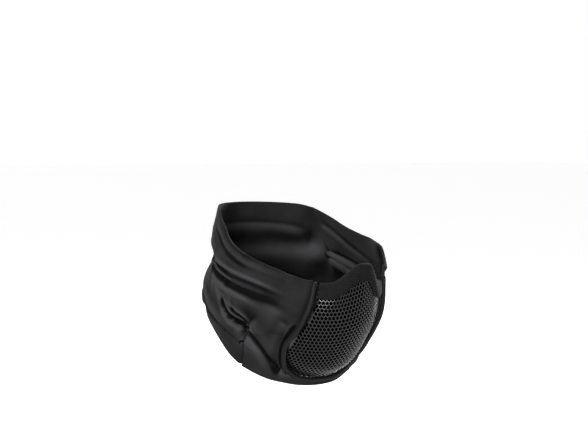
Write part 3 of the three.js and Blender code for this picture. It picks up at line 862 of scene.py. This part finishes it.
def honeycomb(name, cells):
    """A flat honeycomb with this many cells each way, its first cell at the origin."""
    radius = PITCH / math.sqrt(3) * MM
    piece = add(name, bpy.ops.mesh.primitive_circle_add, vertices=6, radius=radius, fill_type="NGON")
    repeat(piece, cells, PITCH, 0)
    edit(
        piece,
        lambda: bpy.ops.mesh.duplicate(),
        lambda: bpy.ops.transform.translate(value=(PITCH / 2 * MM, ROW_PITCH * MM, 0)),
    )
    repeat(piece, cells // 2, 0, 2 * ROW_PITCH)
    edit(piece, lambda: bpy.ops.mesh.remove_doubles(threshold=0.05 * MM))
    return piece


def perforated_steel(name):
    cells = math.ceil(1.3 * max(SHEET_WIDTH, SHEET_HEIGHT) / ROW_PITCH / 2) * 2
    piece = honeycomb(name, cells)
    turn = math.radians(LATTICE_TURN)
    turned = np.array([[math.cos(turn), math.sin(turn)], [-math.sin(turn), math.cos(turn)]])
    middle = np.array([PITCH, ROW_PITCH]) * cells / 2

    def on_sheet(places):
        """The lattice, turned, with its middle on the sheet's."""
        return (np.array(places)[:, :2] / MM - middle) * [1, HOLE_STRETCH] @ turned

    def inside_edges():
        return lay_sheet(on_sheet([face.center for face in piece.data.polygons]), 3)[2]

    def choose(flags):
        bpy.ops.object.mode_set(mode="OBJECT")
        piece.data.polygons.foreach_set("select", flags)
        bpy.ops.object.mode_set(mode="EDIT")

    def choose_faces(flags, *steps):
        edit(
            piece,
            lambda: bpy.ops.mesh.select_mode(type="FACE"),
            lambda: bpy.ops.mesh.select_all(action="DESELECT"),
            lambda: choose(flags),
            *steps,
        )

    punched = inside_edges() > PLAIN_RIM
    choose_faces(
        punched,
        lambda: bpy.ops.mesh.inset(thickness=BAR / 2 * MM, use_individual=True),
        lambda: bpy.ops.mesh.delete(type="FACE"),
    )
    choose_faces(inside_edges() < -0.45 * PITCH, lambda: bpy.ops.mesh.delete(type="FACE"))

    u, v, _ = lay_sheet(on_sheet(coordinates(piece.data)))
    relief = -RELIEF * knot(coordinates(piece.data)[:, :2] / MM)
    piece.data.vertices.foreach_set("co", (pressed_snout(u, v, relief) * MM).ravel())
    piece.data.update()
    edit(
        piece,
        lambda: bpy.ops.mesh.remove_doubles(threshold=0.02 * MM),
        lambda: bpy.ops.mesh.dissolve_degenerate(threshold=0.02 * MM),
        lambda: bpy.ops.mesh.quads_convert_to_tris(quad_method="BEAUTY", ngon_method="BEAUTY"),
    )
    apply(piece, "SOLIDIFY", thickness=STEEL * MM, offset=-1)
    apply(piece, "BEVEL", width=0.22 * MM, segments=2, limit_method="ANGLE", angle_limit=math.radians(55))
    select_only(piece)
    bpy.ops.object.shade_smooth_by_angle(angle=math.radians(50))
    print(name, int(punched.sum()), "holes,", len(piece.data.polygons), "faces")
    return piece


steel = perforated_steel("steel_faceplate")

# %% [markdown]
# ## The lining behind the steel
#
# Black lining cloth lies behind the steel, sewn in with it under the welt and to the trim.
# It is why the holes look black from outside.

# %% Make the lining
LINING = 1.0            # its thickness
LINING_GAP = 0.45       # from the back of the steel
LINING_SIDE = 0.985     # it covers this share of the snout to either side
LINING_FOOT, LINING_TOP = 0.012, 0.85       # and the shares of its height between these
LINING_SIZE = [105, 115]                    # about its width and height, for its map


def lining(name):
    def on_steel(u, v):
        return lerp(-LINING_SIDE, LINING_SIDE, u), lerp(LINING_FOOT, LINING_TOP, v)

    def place(u, v):
        return pressed_snout(*on_steel(u, v), STEEL + LINING_GAP)

    record_cut(name, on_snout(*on_steel(pattern_u, pattern_v)))
    piece = grid_sheet(name, 110, 90, place, lambda u, v: np.stack([u, v], axis=-1) * LINING_SIZE)
    apply(piece, "SOLIDIFY", thickness=LINING * MM, offset=-1)
    shade_smooth(piece)
    return piece


backing = lining("steel_lining")

# %% [markdown]
# ## The welt
#
# The welt is a strip of cloth rolled over a cord and sewn round the window. A round section
# follows the window's edge. The stitching pulls a groove into its outer side.

# %% Make the welt
WELT_ROUND = 15     # about how far it is round the welt, for its map
WELT_END = 0.009    # the share of its length over which each end is rounded off
GROOVE = {"depth": 0.7, "turn": math.radians(305), "width": 0.28}
PULL = {"depth": 0.05, "width": 0.7, "count": 118}      # each stitch draws the welt in a little


def tube(name, line, columns, sides, section):
    """A closed tube along a line. section(share, angle) gives its radius."""
    ahead = unit(np.gradient(line, axis=0))
    turn, z = along(window_line(), np.linspace(0, 1, len(line))).T
    out = form_normal(turn, z)
    out = unit(out - (out * ahead).sum(axis=1)[:, None] * ahead)
    aside = np.cross(out, ahead)

    def place(u, v):
        angle = 2 * np.pi * v
        radius = section(u, angle)[:, None]
        aim = np.cos(angle)[:, None] * along(out, u) + np.sin(angle)[:, None] * along(aside, u)
        return along(line, u) + radius * aim

    length = np.linalg.norm(np.diff(line, axis=0), axis=1).sum()
    chart = lambda u, v: np.stack([u * length, v * WELT_ROUND], axis=-1)
    piece = grid_sheet(name, columns, sides, place, chart)
    edit(
        piece,
        lambda: bpy.ops.mesh.remove_doubles(threshold=0.01 * MM),
        lambda: bpy.ops.mesh.select_mode(type="EDGE"),
        lambda: bpy.ops.mesh.select_all(action="DESELECT"),
        lambda: bpy.ops.mesh.select_non_manifold(),
        lambda: bpy.ops.mesh.fill_holes(sides=0),
        lambda: bpy.ops.mesh.select_all(action="SELECT"),
        lambda: bpy.ops.mesh.normals_make_consistent(inside=False),
    )
    shade_smooth(piece)
    return piece


def welt_section(share, angle):
    """Round, with a stitched groove on its outer side and slight pulls at each stitch."""
    from_groove = angle - GROOVE["turn"]
    groove = GROOVE["depth"] * np.exp(-((from_groove / GROOVE["width"]) ** 2))
    pull = PULL["depth"] * np.sin(share * 2 * np.pi * PULL["count"])
    radius = WELT_RADIUS - groove - pull * np.exp(-((from_groove / PULL["width"]) ** 2))
    from_end = np.minimum(share, 1 - share) / WELT_END
    return radius * np.sqrt(np.clip(1 - (1 - np.minimum(from_end, 1)) ** 2, 0.02, 1))


WELT_RISE = 2.2     # on the wearer's left the welt ends this much higher, under the cheek's corner
welt_line = beside_window(WELT_OFFSET, WELT_DEPTH)
welt_line[:, 2] += WELT_RISE * smoothstep(0.95, 1, np.linspace(0, 1, len(welt_line)))
welt = tube("welt_cloth", welt_line, 590, 32, welt_section)

# %% [markdown]
# ## The nose trim
#
# A band of thick brushed felt is folded over the top edge of the steel, so that it doesn't
# cut into the nose. It is made as it is worn: one strip, folded over the edge, then given
# its thickness. Where it climbs the bridge of the nose it is squeezed into fine wrinkles.

# %% Make the nose trim
TRIM_WALL = 2.2         # thickness of the felt
TRIM_ROUND = 0.8        # radius along its cut edges
TRIM_CLEARANCE = 0.55   # from the steel to the felt
TRIM_REACH = 0.915      # the trim covers this share of the snout to either side
TRIM_LEAF = 0.44        # the share of the strip in each leaf, before it goes over the edge
TRIM_CROWN = 1.45       # its fold stands this far above the steel's edge
TRIM_SIZE = [135, 34]   # about the strip's length and breadth, for its map
FULLER, THIN_HEM = 0.35, 0.5    # it swells by this much halfway down a leaf, and thins at its hem
THIN_FROM = 0.86        # the share of the way down a leaf where its hem begins to thin
# where wrinkles lie across the nose, how far they reach from there, and their share of the height
WRINKLES = table("middle reach share", (-13, 8, 1), (14, 6, 0.5))
WRINKLE_HEIGHT, WRINKLE_PITCH, WRINKLE_LEAN = 0.28, 2.3, 0.25


def wrinkles(sheet):
    """Fine wrinkles where the trim climbs the bridge of the nose."""
    x, z = sheet[:, 0], sheet[:, 2]
    near = sum(share * np.exp(-(((x - middle) / reach) ** 2))
               for middle, reach, share in zip(*WRINKLES.values()))
    return WRINKLE_HEIGHT * np.sin(z * 2 * np.pi / WRINKLE_PITCH + x * WRINKLE_LEAN) * near


def nose_trim(name):
    front = TRIM_CLEARANCE + TRIM_WALL / 2
    back = -STEEL - TRIM_CLEARANCE - TRIM_WALL / 2

    def place(u, v):
        across = lerp(-TRIM_REACH, TRIM_REACH, u)
        down = np.maximum(np.maximum(1 - v / TRIM_LEAF, 1 - (1 - v) / TRIM_LEAF), 0)
        over = np.clip((v - TRIM_LEAF) / (1 - 2 * TRIM_LEAF), 0, 1) * np.pi
        out = lerp(back, front, (np.cos(over) + 1) / 2)
        row = 1 - down * (1 - TRIM_ROW)
        sheet, normal = on_snout(across, row), snout_normal(across, row)
        fuller = FULLER * np.sin(np.pi * down) - THIN_HEM * smoothstep(THIN_FROM, 1, down)
        lift = np.where(v < 0.5, out + fuller + wrinkles(sheet), out - fuller)
        points = sheet + normal * lift[:, None]
        points[:, 2] += TRIM_CROWN * np.sin(over)
        return points

    chart = lambda u, v: np.stack([u, v], axis=-1) * TRIM_SIZE
    piece = grid_sheet(name, 300, 72, place, chart)
    apply(piece, "SOLIDIFY", thickness=TRIM_WALL * MM, offset=0)
    edit(piece, lambda: bpy.ops.mesh.normals_make_consistent(inside=False))
    round_edges(piece, TRIM_ROUND)
    shade_smooth(piece)
    return piece


trim = nose_trim("nose_trim_felt")

# %% [markdown]
# ## The stitches
#
# The top hem and the neck hem are each sewn down with two rows of stitches. A row is made
# straight and flat first, one stitch repeated by an array. Then the row is laid along its
# hem, as the steel's flat sheet is laid on the snout: a stitch's length runs along the line,
# its width across it, and its height stands on the cloth.

# %% Lay rows of stitches
STITCH = {"pitch": 3.2, "length": 2.3, "width": 0.55, "height": 0.45}
STITCH_RISE = -0.04         # a stitch's middle lies this far above the cloth, or below it
TOP_ROWS = (3.4, 6.0)       # millimetres below the top edge
HEM_ROWS = (-1.2, 1.2)      # to either side of the hem's furrow
TOP_LINE = np.concatenate([seam(TOP_EDGE, RIGHT)[1:], seam(NAPE_TOP, RIGHT)[1:],
                           past_nape(NAPE_TOP)[::-1][1:], past_nape(TOP_EDGE)[::-1][1:-1]])
HEM_FURROW = table(
    "turn right left",
    (52, -55.5, -52), (58, -51, -48), (68, -42, -42), (78, -34, -34), (96, -21.5, -21.5),
    (117, -9, -9), (128, -1, -1), (140, 15, 15), (180, 20, 20),
)
HEM_LINE = np.concatenate([seam(HEM_FURROW, RIGHT), past_nape(HEM_FURROW)[::-1][1:]])


def lay_on_cloth(line):
    """Places and frames along a line of turns and heights, evenly by length."""
    chart = smooth(line, 1200)
    chart, length = evenly(chart, on_cloth(*chart.T), len(chart))
    return on_cloth(*chart.T), form_normal(*chart.T), length


def stitch_row(name, place, normal, length):
    """One row of stitches along places that are evenly spaced over a length."""
    count = int(length / STITCH["pitch"])
    piece = add(name, bpy.ops.mesh.primitive_uv_sphere_add, segments=8, ring_count=5, radius=0.5,
                rotation=(0, math.pi / 2, 0))
    piece.scale = [STITCH[side] * MM for side in ("height", "width", "length")]
    bpy.ops.object.transform_apply(location=False, rotation=True, scale=True)
    repeat(piece, count, STITCH["pitch"], 0)
    flat = coordinates(piece.data) / MM
    share = (flat[:, 0] + STITCH["pitch"] / 2) / (count * STITCH["pitch"])
    ahead = unit(np.gradient(place, axis=0))
    aside = unit(np.cross(normal, ahead))
    laid = along(place, share) + flat[:, 1, None] * along(aside, share)
    laid = laid + (flat[:, 2, None] + STITCH_RISE) * along(normal, share)
    piece.data.vertices.foreach_set("co", (laid * MM).ravel())
    piece.data.update()
    return piece


def join(name, pieces):
    bpy.ops.object.select_all(action="DESELECT")
    for piece in pieces:
        piece.select_set(True)
    bpy.context.view_layer.objects.active = pieces[0]
    bpy.ops.object.join()
    pieces[0].name = pieces[0].data.name = name
    edit(pieces[0], lambda: bpy.ops.mesh.normals_make_consistent(inside=False))
    shade_smooth(pieces[0])
    return pieces[0]


def below(line, distance):
    return line - [0, distance]


top_stitches = join("top_hem_stitches", [
    stitch_row("top_row", *lay_on_cloth(below(TOP_LINE, distance))) for distance in TOP_ROWS
])
hem_stitches = join("neck_hem_stitches", [
    stitch_row("hem_row", *lay_on_cloth(below(HEM_LINE, distance))) for distance in HEM_ROWS
])

# %% [markdown]
# ## Materials
#
# A small class wraps a socket, so that the patterns read as sums. Every pattern is made of
# waves and noise in the sheet's own millimetres or in the object's, with no picture. The cloth's
# colour also takes painted light and shade from the crest values kept in its sheets.

# %% Write node sums
class Sum:
    """A socket that can be added, taken away and multiplied like a number."""

    tree = None

    def __init__(self, socket):
        self.socket = socket

    @staticmethod
    def math(operation, *values, clamp=False):
        return node("Math", {"operation": operation, "use_clamp": clamp}, 0, *values)

    @staticmethod
    def feed(place, value):
        if isinstance(value, Sum):
            Sum.tree.links.new(value.socket, place)
        else:
            place.default_value = value

    def __add__(self, other):
        return Sum.math("ADD", self, other)

    def __sub__(self, other):
        return Sum.math("SUBTRACT", self, other)

    def __rsub__(self, other):
        return Sum.math("SUBTRACT", other, self)

    def __mul__(self, other):
        return Sum.math("MULTIPLY", self, other)

    __radd__, __rmul__ = __add__, __mul__

    def sin(self):
        return Sum.math("SINE", self)

    def between(self, low, high):
        """0 at low and 1 at high, held there beyond them."""
        return Sum.math("MULTIPLY", self - low, 1 / (high - low), clamp=True)


def node(kind, settings=None, output=0, *values, **inputs):
    """Adds a node: its settings first, then its sockets' values or links, in order or by name."""
    made = Sum.tree.nodes.new("ShaderNode" + kind)
    for name, value in (settings or {}).items():
        setattr(made, name, value)
    for place, value in zip(made.inputs, values):
        Sum.feed(place, value)
    for name, value in inputs.items():
        Sum.feed(made.inputs[name.replace("_", " ")], value)
    return Sum(made.outputs[output])


def material(name, **constants):
    """A new material, its shader, and Sum pointed at its nodes."""
    made = bpy.data.materials.new(name)
    made.use_nodes = True
    Sum.tree = made.node_tree
    shader = made.node_tree.nodes["Principled BSDF"]
    for socket, value in constants.items():
        shader.inputs[socket.replace("_", " ")].default_value = value
    return made, shader


def mix(dark, light, share):
    """A colour between two, dark where the share is 0 and light where it is 1."""
    return node("Mix", {"data_type": "RGBA"}, "Result", Factor=share, A=dark, B=light)


def grey(level, blue=None):
    """A grey, or one whose blue stands a little higher."""
    return level, level, blue or level, 1


def paint(shader, dark, light, share):
    """Paints a shader between two greys, each a level and its blue."""
    Sum.feed(shader.inputs["Base Color"], mix(grey(*dark), grey(*light), share))


def waves(distance, pitch):
    """Waves that repeat at a pitch in millimetres."""
    return (distance * (2 * math.pi / pitch)).sin()


def noise(scale, detail):
    """Noise in the object's own space."""
    return node("TexNoise", Vector=node("TexCoord", output=3), Scale=scale, Detail=detail)


def bump(shader, height, distance):
    Sum.feed(shader.inputs["Normal"], node("Bump", Height=height, Distance=distance * MM))


# %% Make the materials
def split(vector, *axes):
    """The parts of a vector along some of its axes, which are 0, 1 and 2."""
    return [node("SeparateXYZ", output=axis, Vector=vector) for axis in axes]


def stretch_cloth():
    """Charcoal jersey: fine ribs of knit, painted paler along the crests of its folds and darker in their
    pockets, as painted light and shade.
    """
    made, shader = material("stretch_cloth", Roughness=0.72, Specular_IOR_Level=0.05, Sheen_Weight=0.01)
    across, up = split(node("UVMap"), 0, 1)
    ribs, courses = waves(across, 0.9), waves(up, 0.7)
    knit = ribs * 0.5 + ribs * courses * 0.5
    fuzz = noise(1600.0, 3.0)
    cloudy = noise(60.0, 3.0)
    crest = node("Attribute", {"attribute_name": "crest"}, output=2)
    # The crest paints light and shade into the colour: a painted highlight on the folds' crests, painted
    # shade in their pockets and under a cheek's foot.
    share = knit * 0.08 + fuzz * 0.25 + cloudy * 0.35 + (crest - 0.5) * 1.9
    paint(shader, (0.0015, 0.0016), (0.043, 0.045), share.between(0, 1))
    bump(shader, knit * 0.5 + fuzz * 1.2, 0.06)
    return made


def welt_cloth():
    """The same cloth rolled tight, so its ribs run across the roll."""
    made, shader = material("welt_cloth", Roughness=0.6, Specular_IOR_Level=0.16)
    across, up = split(node("UVMap"), 0, 1)
    ribs = (across * (2 * math.pi / 0.8) + up * 1.2).sin()
    fuzz = noise(1500.0, 3.0)
    paint(shader, (0.002, 0.0022), (0.0065, 0.0068), ribs * 0.15 + fuzz * 0.8)
    bump(shader, ribs * 0.15 + fuzz, 0.1)
    return made


def painted_steel():
    """Black paint baked on steel, nearly matt, and slightly uneven."""
    made, shader = material("painted_steel", Specular_IOR_Level=0.5)
    mottle = noise(220.0, 3.0)
    paint(shader, (0.003, 0.0032), (0.008, 0.0083), mottle)
    Sum.feed(shader.inputs["Roughness"], mottle * 0.12 + 0.22)
    bump(shader, noise(900.0, 1.0), 0.02)
    return made


def padded_trim():
    """Brushed felt: no weave, only a short matt pile."""
    made, shader = material("padded_trim", Roughness=0.9, Specular_IOR_Level=0.05, Sheen_Weight=0.04)
    pile = noise(1300.0, 4.0)
    patch = noise(160.0, 3.0)
    share = pile * 0.8 + patch * 0.5 - 0.2
    paint(shader, (0.002, 0.0022), (0.020, 0.021), share)
    bump(shader, pile + patch * 0.8, 0.25)
    return made


def sewing_thread():
    """Black polyester thread, with a twist and a slight gloss."""
    made, shader = material("sewing_thread", Specular_IOR_Level=0.2)
    twist = noise(2500.0, 1.0)
    paint(shader, (0.003, 0.0032), (0.009, 0.0094), twist)
    Sum.feed(shader.inputs["Roughness"], twist * 0.2 + 0.4)
    return made


def lining_cloth():
    """Thin black cloth with an open knit, as matt as soot."""
    made, shader = material("lining_cloth", Roughness=1.0, Specular_IOR_Level=0.0)
    across, up = split(node("UVMap"), 0, 1)
    knit = waves(across, 1.2) * waves(up, 1.2)
    paint(shader, (0.0005, 0.0005), (0.0025, 0.0027), knit * 0.5 + 0.5)
    bump(shader, knit, 0.1)
    return made


# %% Dress the pieces, and hide the frame's solid that each stands for
cloth_look, welt_look, steel_look, trim_look = stretch_cloth(), welt_cloth(), painted_steel(), padded_trim()
lining_look = lining_cloth()
PIECES = [
    # piece, material, slot, the frame's node
    (cheeks[RIGHT], cloth_look, "stretch_cloth", "cheek_panel_right"),
    (cheeks[LEFT], cloth_look, "stretch_cloth", "cheek_panel_left"),
    (nape, cloth_look, "stretch_cloth", "nape_panel"),
    (throat, cloth_look, "stretch_cloth", "throat_panel"),
    (steel, steel_look, "painted_steel", "mesh_faceplate"),
    (backing, lining_look, "lining_cloth", "mesh_lining"),
    (welt, welt_look, "welt_cloth", "mesh_welt"),
    (trim, trim_look, "padded_trim", "nose_trim"),
]
for piece, look, slot, stands_for in PIECES:
    piece.data.materials.clear()
    piece.data.materials.append(look)
    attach(piece, "root")
    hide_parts(stands_for)

for piece in (*cheeks.values(), nape, throat, backing):
    width, length, area = CUTS[piece.name]
    print(piece.name, "one face over its cut:", round(one_face(piece) / area, 3))
thread_look = sewing_thread()
for row in (top_stitches, hem_stitches):
    row.data.materials.append(thread_look)
    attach(row, "root")

# %% [markdown]
# ## Floor, lights and camera
#
# The mask is held up at its wearer's height, so it hovers over a plain pale floor, in front
# of plain white. A lamp high up on the camera's left picks out the folds, a wide one low down
# on the same side fills in under the cheek, and one behind on the far side runs along the
# steel's far edge. A soft sun overhead keeps the floor pale.

# %% Light it
floor = add("studio_floor", bpy.ops.mesh.primitive_plane_add, size=30, location=(0, 0, -0.110))
floor_look, _ = material("studio_floor", Roughness=0.9, Base_Color=grey(0.9), Emission_Color=grey(1.0),
                         Emission_Strength=0.35)
floor.data.materials.append(floor_look)
floor.visible_diffuse = False       # its own bounce would light the cloth's undersides away

world = bpy.data.worlds.new("studio")
bpy.context.scene.world = world
bpy.context.scene.view_settings.view_transform = "Standard"
world.use_nodes = True
Sum.tree = world.node_tree
ahead, above = split(node("TexCoord"), 1, 2)
front = mix(grey(0.04), grey(0.15), above.between(0, 1))
behind = ahead.between(0.3, 0.85) * above.between(-0.08, -0.02)
seen = node("LightPath")        # what the camera sees past the floor is plain white all round
sky = mix(front, grey(1.0), (behind + seen).between(0, 1))
Sum.feed(world.node_tree.nodes["Background"].inputs["Color"], sky)


def lamp(name, place, aim, width, height, power):
    light = add(name, bpy.ops.object.light_add, type="AREA", location=place)
    light.data.shape = "RECTANGLE"
    light.data.size, light.data.size_y, light.data.energy = width, height, power
    away = np.array(place) - aim
    light.rotation_euler = (
        math.atan2(math.hypot(away[0], away[1]), away[2]), 0, math.atan2(away[0], -away[1]),
    )


lamp("key_light", (-1.28, -0.50, 0.87), (0, -0.03, 0), 0.5, 0.5, 11.5)
lamp("low_fill", (-1.10, -1.18, 0.02), (0, -0.03, 0), 0.8, 0.24, 27)
lamp("rim_light", (1.41, 0.51, 0.5), (0, 0, 0), 0.4, 0.8, 30)

floor_light = add("floor_light", bpy.ops.object.light_add, type="SUN", rotation=(math.radians(8), 0, 0))
floor_light.data.energy, floor_light.data.angle = 1.4, math.radians(60)

# %% Aim the camera
VIEW_TURN, VIEW_RISE, VIEW_DISTANCE = math.radians(-38), math.radians(2.5), 1.7


def aim_camera():
    right = np.array([math.cos(VIEW_TURN), math.sin(VIEW_TURN), 0])
    back = np.array([
        math.sin(VIEW_TURN) * math.cos(VIEW_RISE),
        -math.cos(VIEW_TURN) * math.cos(VIEW_RISE),
        math.sin(VIEW_RISE),
    ])
    up = np.cross(back, right)
    bpy.ops.object.camera_add(
        location=0.0019 * right + 0.075 * up + VIEW_DISTANCE * back,
        rotation=(math.pi / 2 - VIEW_RISE, 0, VIEW_TURN),
    )
    camera = bpy.context.object
    camera.data.sensor_width, camera.data.lens = 36, 110.3
    bpy.context.scene.camera = camera


aim_camera()
